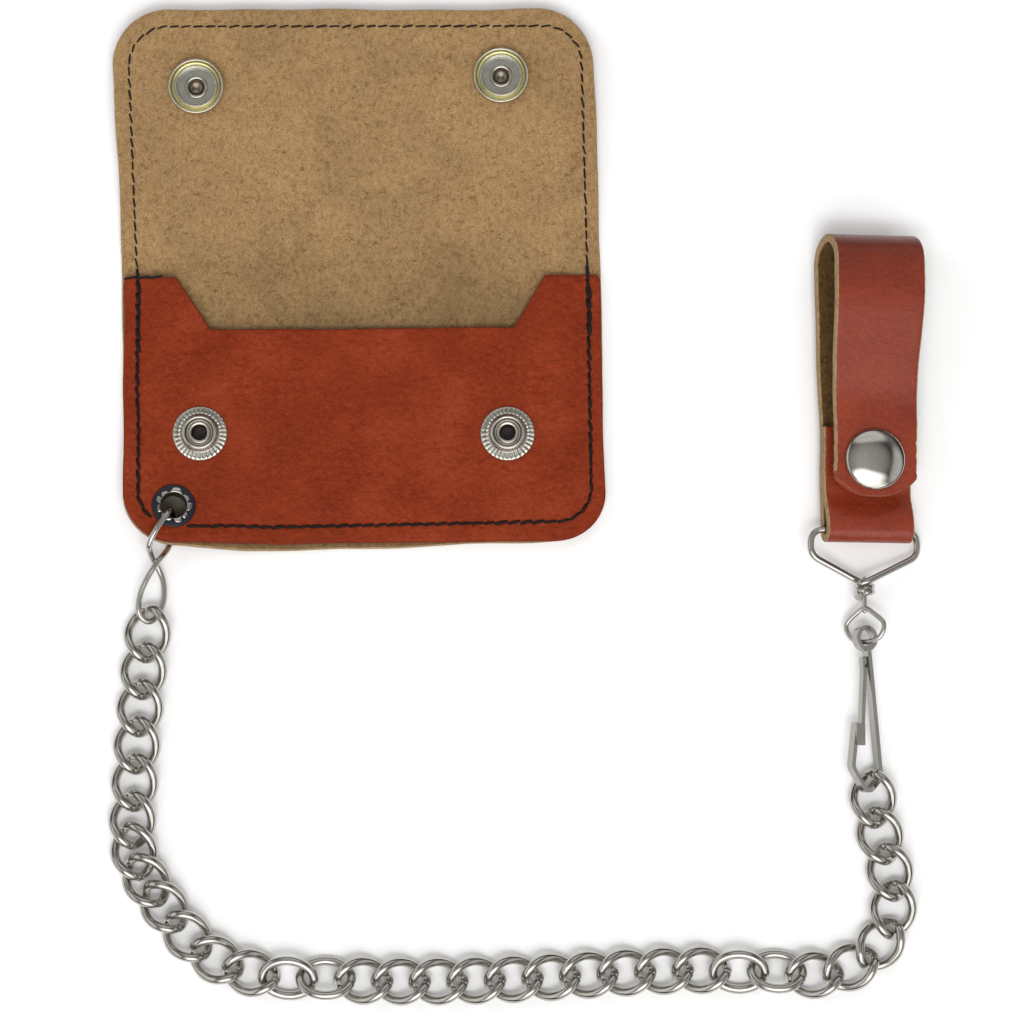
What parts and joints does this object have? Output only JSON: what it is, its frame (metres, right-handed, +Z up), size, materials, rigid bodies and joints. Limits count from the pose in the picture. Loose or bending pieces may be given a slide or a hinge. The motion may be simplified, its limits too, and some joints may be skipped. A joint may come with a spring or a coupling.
{
  "type": "chain wallet",
  "caption": "Leather wallet lying open with a snap flap and front pocket, a curb chain from a corner eyelet to a spring snap hook, and a snap-closed leather belt strap on a swivel loop.",
  "frame": {"origin": "centre of the back panel's flat underside (between the panel's side edges, 36 mm below the fold line), on the table", "axes": "+X to the wallet's right, +Y from the pocket's snaps towards the open flap (longest side of the whole), +Z up out of the table (shortest side)"},
  "size_m": [0.2026, 0.2497, 0.0179],
  "materials": {
    "wallet_leather": "pull-up red-brown cowhide, pebbled grain, raw tan edge",
    "strap_leather": "smooth red-brown bridle leather, olive suede inside, raw tan edge",
    "thread": "dark brown waxed thread",
    "washer_black": "blue-black enamel",
    "nickel": "polished nickel plate, slightly warm",
    "snap_nickel": "nickel plated snap fasteners"
  },
  "bodies": {
    "wallet": {"back_panel": "wallet_leather", "front_pocket": "wallet_leather", "pocket_stitching": "thread", "pocket_studs": "snap_nickel", "stud_posts": "snap_nickel", "chain_eyelet": "nickel", "eyelet_washer": "washer_black"},
    "flap": {"flap": "wallet_leather", "flap_stitching": "thread", "flap_sockets": "snap_nickel", "flap_caps": "snap_nickel", "socket_springs": "snap_nickel"},
    "connector": {"connector_link": "nickel"},
    "link_01": {"link_01": "nickel"},
    "link_02": {"link_02": "nickel"},
    "link_03": {"link_03": "nickel"},
    "link_04": {"link_04": "nickel"},
    "link_05": {"link_05": "nickel"},
    "link_06": {"link_06": "nickel"},
    "link_07": {"link_07": "nickel"},
    "link_08": {"link_08": "nickel"},
    "link_09": {"link_09": "nickel"},
    "link_10": {"link_10": "nickel"},
    "link_11": {"link_11": "nickel"},
    "link_12": {"link_12": "nickel"},
    "link_13": {"link_13": "nickel"},
    "link_14": {"link_14": "nickel"},
    "link_15": {"link_15": "nickel"},
    "link_16": {"link_16": "nickel"},
    "link_17": {"link_17": "nickel"},
    "link_18": {"link_18": "nickel"},
    "link_19": {"link_19": "nickel"},
    "link_20": {"link_20": "nickel"},
    "link_21": {"link_21": "nickel"},
    "link_22": {"link_22": "nickel"},
    "link_23": {"link_23": "nickel"},
    "link_24": {"link_24": "nickel"},
    "link_25": {"link_25": "nickel"},
    "link_26": {"link_26": "nickel"},
    "link_27": {"link_27": "nickel"},
    "link_28": {"link_28": "nickel"},
    "link_29": {"link_29": "nickel"},
    "link_30": {"link_30": "nickel"},
    "link_31": {"link_31": "nickel"},
    "link_32": {"link_32": "nickel"},
    "link_33": {"link_33": "nickel"},
    "snap_hook": {"snap_hook": "nickel"},
    "hook_gate": {"hook_gate": "nickel"},
    "swivel_eye": {"swivel_eye": "nickel"},
    "wire_loop": {"wire_loop": "nickel"},
    "strap_back": {"strap_back": "strap_leather", "strap_stud": "snap_nickel", "strap_post": "snap_nickel"},
    "strap_front": {"strap_front": "strap_leather", "strap_socket": "snap_nickel", "strap_spring": "snap_nickel", "strap_cap": "snap_nickel"}
  },
  "joints": [
    {"name": "flap_fold", "type": "hinge", "parent": "wallet", "child": "flap", "pos_m": [-0.0024, 0.03625, 0.0051], "axis": [0.9998, 0.0183, 0], "range_deg": [0, 175.38]},
    {"name": "strap_open", "type": "hinge", "parent": "strap_back", "child": "strap_front", "pos_m": [0.12625, 0.032, 0.01644], "axis": [-0.9903, 0, 0.1392], "range_deg": [0, 150]},
    {"name": "gate_press", "type": "hinge", "parent": "snap_hook", "child": "hook_gate", "pos_m": [0.12409, -0.06471, 0.00479], "axis": [0.5299, -0.0178, 0.8479], "range_deg": [0, 9], "stiffness_Nm_per_rad": 0.02},
    {"name": "hook_turn", "type": "hinge", "parent": "snap_hook", "child": "swivel_eye", "pos_m": [0.1246, -0.0597, 0.00458], "axis": [0.5299, -0.0178, 0.8479], "range_deg": [-25, 25]},
    {"name": "swivel_spin", "type": "hinge", "parent": "swivel_eye", "child": "wire_loop", "pos_m": [0.1246, -0.047, 0.0047], "axis": [0, 1, 0], "continuous": true},
    {"name": "loop_swing", "type": "hinge", "parent": "wire_loop", "child": "strap_back", "pos_m": [0.1246, -0.0327, 0.0047], "axis": [0.9903, 0, -0.1392], "range_deg": [-20, 20]},
    {"name": "hook_swing", "type": "hinge", "parent": "link_33", "child": "snap_hook", "pos_m": [0.1246, -0.09629, 0.00381], "axis": [0, 0, 1], "range_deg": [-25, 4]},
    {"name": "connector_swing", "type": "hinge", "parent": "wallet", "child": "connector", "pos_m": [-0.0482, -0.0282, 0.004], "axis": [0, 0, 1], "range_deg": [-12, 12]},
    {"name": "chain_01", "type": "hinge", "parent": "connector", "child": "link_01", "pos_m": [-0.0534, -0.054, 0.003], "axis": [0, 0, 1], "range_deg": [-26, 23]},
    {"name": "chain_02", "type": "hinge", "parent": "link_01", "child": "link_02", "pos_m": [-0.05385, -0.063, 0.003], "axis": [0.9953, -0.0967, 0], "range_deg": [-24, 24]},
    {"name": "chain_03", "type": "hinge", "parent": "link_02", "child": "link_03", "pos_m": [-0.05469, -0.0722, 0.003], "axis": [0, 0, -1], "range_deg": [-20, 33.66]},
    {"name": "chain_04", "type": "hinge", "parent": "link_03", "child": "link_04", "pos_m": [-0.05542, -0.08141, 0.003], "axis": [-0.9975, 0.0705, 0], "range_deg": [-24, 24]},
    {"name": "chain_05", "type": "hinge", "parent": "link_04", "child": "link_05", "pos_m": [-0.05597, -0.09064, 0.003], "axis": [0, 0, 1], "range_deg": [-33.92, 18]},
    {"name": "chain_06", "type": "hinge", "parent": "link_05", "child": "link_06", "pos_m": [-0.05641, -0.09987, 0.003], "axis": [0.999, -0.0454, 0], "range_deg": [-24, 24]},
    {"name": "chain_07", "type": "hinge", "parent": "link_06", "child": "link_07", "pos_m": [-0.05639, -0.10839, 0.003], "axis": [0, 0, -1], "range_deg": [-16, 47.37]},
    {"name": "chain_08", "type": "hinge", "parent": "link_07", "child": "link_08", "pos_m": [-0.05464, -0.1159, 0.003], "axis": [-0.9204, -0.391, 0], "range_deg": [-24, 24]},
    {"name": "chain_09", "type": "hinge", "parent": "link_08", "child": "link_09", "pos_m": [-0.05087, -0.12273, 0.003], "axis": [0, 0, 1], "range_deg": [-39.07, 15]},
    {"name": "chain_10", "type": "hinge", "parent": "link_09", "child": "link_10", "pos_m": [-0.04575, -0.12955, 0.003], "axis": [0.7793, 0.6266, 0], "range_deg": [-24, 24]},
    {"name": "chain_11", "type": "hinge", "parent": "link_10", "child": "link_11", "pos_m": [-0.03926, -0.13603, 0.003], "axis": [0, 0, -1], "range_deg": [-14.63, 51.37]},
    {"name": "chain_12", "type": "hinge", "parent": "link_11", "child": "link_12", "pos_m": [-0.03136, -0.14052, 0.003], "axis": [-0.3502, -0.9367, 0], "range_deg": [-24, 24]},
    {"name": "chain_13", "type": "hinge", "parent": "link_12", "child": "link_13", "pos_m": [-0.02248, -0.14277, 0.003], "axis": [0.1374, 0.9905, 0], "range_deg": [-12, 12]},
    {"name": "chain_14", "type": "hinge", "parent": "link_13", "child": "link_14", "pos_m": [-0.01328, -0.14339, 0.003], "axis": [-0.0019, 1, 0], "range_deg": [-12, 12]},
    {"name": "chain_15", "type": "hinge", "parent": "link_14", "child": "link_15", "pos_m": [-0.00405, -0.1437, 0.003], "axis": [-0.0684, -0.9977, 0], "range_deg": [-12, 12]},
    {"name": "chain_16", "type": "hinge", "parent": "link_15", "child": "link_16", "pos_m": [0.00518, -0.1441, 0.003], "axis": [-0.0181, -0.9998, 0], "range_deg": [-24, 24]},
    {"name": "chain_17", "type": "hinge", "parent": "link_16", "child": "link_17", "pos_m": [0.01442, -0.14418, 0.003], "axis": [0, 0, 1], "range_deg": [-34.25, 13.5]},
    {"name": "chain_18", "type": "hinge", "parent": "link_17", "child": "link_18", "pos_m": [0.02366, -0.14408, 0.003], "axis": [-0.0214, 0.9998, 0], "range_deg": [-24, 24]},
    {"name": "chain_19", "type": "hinge", "parent": "link_18", "child": "link_19", "pos_m": [0.0329, -0.1438, 0.003], "axis": [0, 0, -1], "range_deg": [-14, 33.91]},
    {"name": "chain_20", "type": "hinge", "parent": "link_19", "child": "link_20", "pos_m": [0.04213, -0.14338, 0.003], "axis": [0.0527, -0.9986, 0], "range_deg": [-24, 24]},
    {"name": "chain_21", "type": "hinge", "parent": "link_20", "child": "link_21", "pos_m": [0.05136, -0.14286, 0.003], "axis": [0, 0, 1], "range_deg": [-33.16, 14]},
    {"name": "chain_22", "type": "hinge", "parent": "link_21", "child": "link_22", "pos_m": [0.06058, -0.14231, 0.003], "axis": [-0.0581, 0.9983, 0], "range_deg": [-24, 24]},
    {"name": "chain_23", "type": "hinge", "parent": "link_22", "child": "link_23", "pos_m": [0.06981, -0.14183, 0.003], "axis": [0, 0, -1], "range_deg": [-14.5, 32.02]},
    {"name": "chain_24", "type": "hinge", "parent": "link_23", "child": "link_24", "pos_m": [0.07904, -0.1415, 0.003], "axis": [0.0225, -0.9997, 0], "range_deg": [-24, 24]},
    {"name": "chain_25", "type": "hinge", "parent": "link_24", "child": "link_25", "pos_m": [0.08828, -0.14162, 0.003], "axis": [0.0481, 0.9988, 0], "range_deg": [-12, 12]},
    {"name": "chain_26", "type": "hinge", "parent": "link_25", "child": "link_26", "pos_m": [0.09752, -0.1418, 0.003], "axis": [-0.0095, 1, 0], "range_deg": [-12, 12]},
    {"name": "chain_27", "type": "hinge", "parent": "link_26", "child": "link_27", "pos_m": [0.10675, -0.14217, 0.003], "axis": [-0.0891, -0.996, 0], "range_deg": [-12, 12]},
    {"name": "chain_28", "type": "hinge", "parent": "link_27", "child": "link_28", "pos_m": [0.11584, -0.14162, 0.003], "axis": [0.2083, -0.9781, 0], "range_deg": [-24, 24]},
    {"name": "chain_29", "type": "hinge", "parent": "link_28", "child": "link_29", "pos_m": [0.12395, -0.13788, 0.003], "axis": [0, 0, 1], "range_deg": [-61.36, 4.64]},
    {"name": "chain_30", "type": "hinge", "parent": "link_29", "child": "link_30", "pos_m": [0.12924, -0.13084, 0.003], "axis": [-0.9312, 0.3646, 0], "range_deg": [-24, 24]},
    {"name": "chain_31", "type": "hinge", "parent": "link_30", "child": "link_31", "pos_m": [0.13057, -0.12201, 0.003], "axis": [0, 0, -1], "range_deg": [-13.97, 52.03]},
    {"name": "chain_32", "type": "hinge", "parent": "link_31", "child": "link_32", "pos_m": [0.12906, -0.11295, 0.003], "axis": [0.9677, 0.2521, 0], "range_deg": [-24, 24]},
    {"name": "chain_33", "type": "hinge", "parent": "link_32", "child": "link_33", "pos_m": [0.1271, -0.10394, 0.003], "axis": [0, 0, 1], "range_deg": [-20.38, 19.5]}
  ]
}
